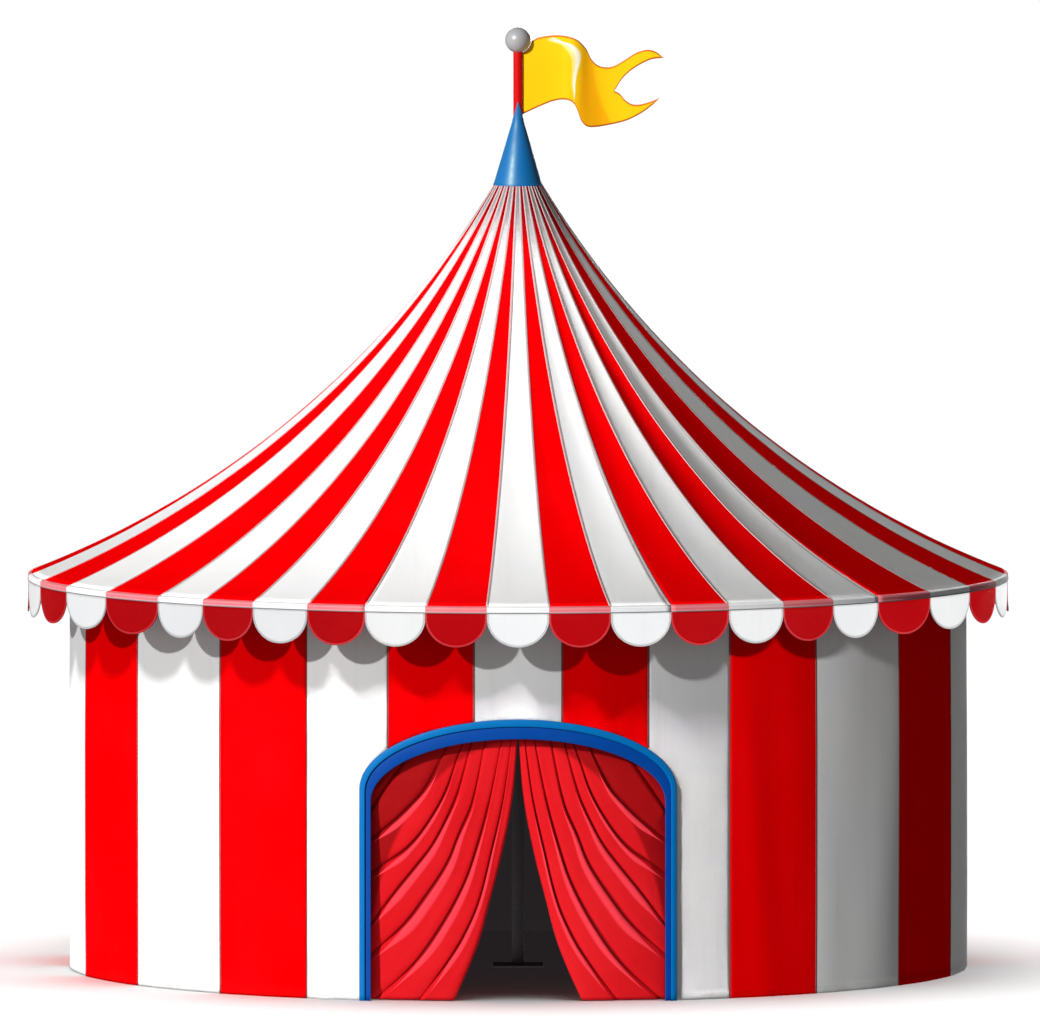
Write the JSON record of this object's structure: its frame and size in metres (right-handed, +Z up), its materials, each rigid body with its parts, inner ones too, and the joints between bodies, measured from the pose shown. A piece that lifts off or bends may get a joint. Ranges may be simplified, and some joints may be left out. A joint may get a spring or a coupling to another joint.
{
  "type": "circus big top tent",
  "caption": "Round striped marquee: curved pointed canopy, scalloped valance, upright walls, arched curtained doorway, blue cap, mast, ball and swallow-tailed flag.",
  "frame": {"origin": "on the ground under the king pole, at the centre of the round plan", "axes": "+Z up along the king pole; the doorway faces -Y; the flag flies towards +X"},
  "size_m": [9.8192, 9.82, 9.43],
  "materials": {
    "canopy_cloth": "coated cloth in red and white gores, satin",
    "valance_cloth": "coated cloth scallops in red and white with a bound edge, satin",
    "wall_cloth": "coated cloth in upright red and white stripes, satin",
    "blue_frame": "two tones of blue paint, semi-gloss",
    "curtain_cloth": "soft red cloth with swept folds",
    "galvanised_steel": "dull galvanised",
    "blue_cap": "blue paint, glossy",
    "red_mast": "red paint, glossy",
    "grey_ball": "pale grey, glossy",
    "flag_cloth": "yellow cloth with a stitched hem"
  },
  "bodies": {
    "root": {"canopy_front": "canopy_cloth", "canopy_front_right": "canopy_cloth", "canopy_right": "canopy_cloth", "canopy_rear_right": "canopy_cloth", "canopy_rear": "canopy_cloth", "canopy_rear_left": "canopy_cloth", "canopy_left": "canopy_cloth", "canopy_front_left": "canopy_cloth", "valance_front": "valance_cloth", "valance_front_right": "valance_cloth", "valance_right": "valance_cloth", "valance_rear_right": "valance_cloth", "valance_rear": "valance_cloth", "valance_rear_left": "valance_cloth", "valance_left": "valance_cloth", "valance_front_left": "valance_cloth", "wall_over_door": "wall_cloth", "wall_beside_door_right": "wall_cloth", "wall_beside_door_left": "wall_cloth", "wall_front_right": "wall_cloth", "wall_rear_right": "wall_cloth", "wall_rear": "wall_cloth", "wall_rear_left": "wall_cloth", "wall_front_left": "wall_cloth", "door_frame": "blue_frame", "curtain_left": "curtain_cloth", "curtain_right": "curtain_cloth", "wall_ring": "galvanised_steel", "eave_ring": "galvanised_steel", "king_pole": "galvanised_steel", "king_pole_base": "galvanised_steel", "crown_hub": "galvanised_steel", "side_pole_1": "galvanised_steel", "side_pole_2": "galvanised_steel", "side_pole_3": "galvanised_steel", "side_pole_4": "galvanised_steel", "side_pole_5": "galvanised_steel", "side_pole_6": "galvanised_steel", "side_pole_7": "galvanised_steel", "side_pole_8": "galvanised_steel", "cap_cone": "blue_cap", "flag_mast": "red_mast", "ball_finial": "grey_ball", "flag": "flag_cloth"}
  },
  "joints": []
}
